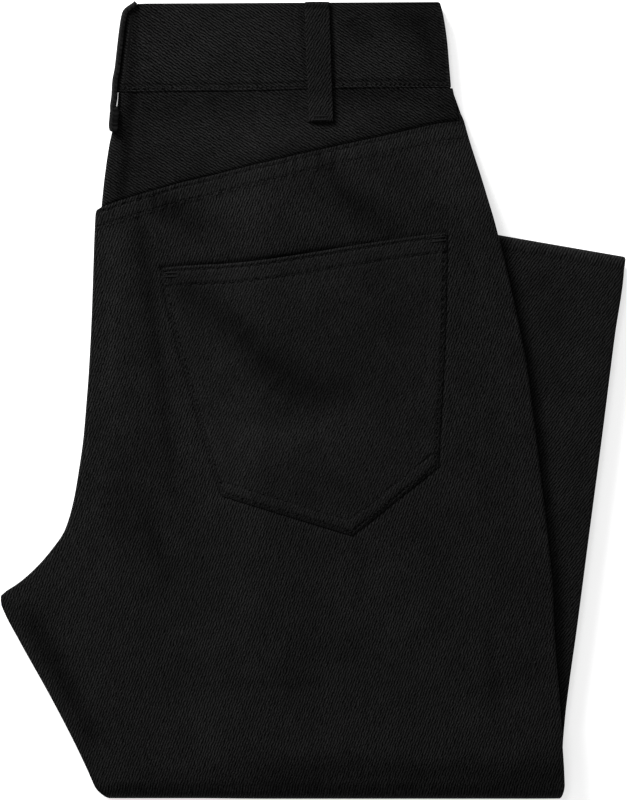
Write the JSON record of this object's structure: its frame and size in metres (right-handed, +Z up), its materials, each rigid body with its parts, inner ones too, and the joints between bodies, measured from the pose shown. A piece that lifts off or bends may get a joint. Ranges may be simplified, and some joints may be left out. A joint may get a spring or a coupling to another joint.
{
  "type": "folded skinny jeans",
  "caption": "High-rise skinny jeans in black twill denim, folded lengthwise with the back out and the legs folded under, lying flat.",
  "frame": {"origin": "bottom centre of the bounding box, on the surface that the folded jeans lie on", "axes": "+Y from the bottom fold of the legs towards the waist, +Z up through the layers, +X from the centre back towards the side seam"},
  "size_m": [0.3234, 0.4129, 0.0229],
  "materials": {
    "denim": "matt black cotton twill with a slight sheen, tonal black stitching",
    "denim_waistband": "the same twill cut lengthwise, so its lines slope the other way",
    "denim_loop": "the same twill folded into narrow straps"
  },
  "bodies": {
    "root": {"waistband": "denim_waistband", "yoke_right": "denim", "yoke_left": "denim", "back_panel_right": "denim", "back_panel_left": "denim", "back_pocket_right": "denim", "back_pocket_left": "denim", "belt_loop_side_right": "denim_loop", "belt_loop_side_left": "denim_loop", "belt_loop_centre_back": "denim_loop", "hidden_layers": "denim"}
  },
  "joints": []
}
